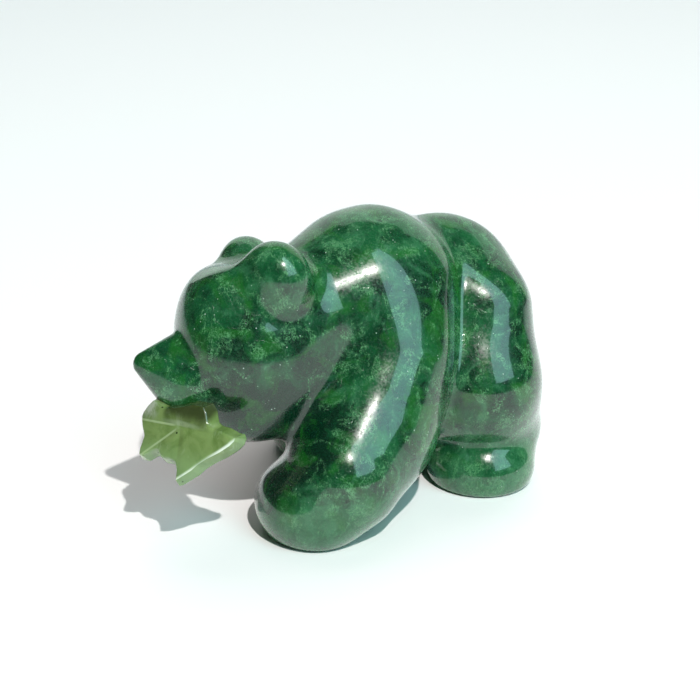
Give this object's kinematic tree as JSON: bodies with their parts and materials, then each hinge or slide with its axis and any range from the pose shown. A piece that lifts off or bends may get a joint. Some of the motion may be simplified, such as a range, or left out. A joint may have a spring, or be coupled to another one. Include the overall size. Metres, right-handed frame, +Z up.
{
  "type": "jade bear carving",
  "caption": "Polished jade figure of a bear walking with its head low and turned, holding a maple leaf of paler jade in its mouth.",
  "frame": {"origin": "middle of the whole carving's box, on the ground under the feet", "axes": "+Z up, the bear faces -Y, and its left side is at +X"},
  "size_m": [0.067, 0.1006, 0.0641],
  "materials": {
    "nephrite_dark": "dark green nephrite, cloudy with lighter patches, hand polished to a high gloss",
    "jade_pale": "yellow-green translucent jade, polished"
  },
  "bodies": {
    "root": {"bear": "nephrite_dark", "maple_leaf": "jade_pale"}
  },
  "joints": []
}
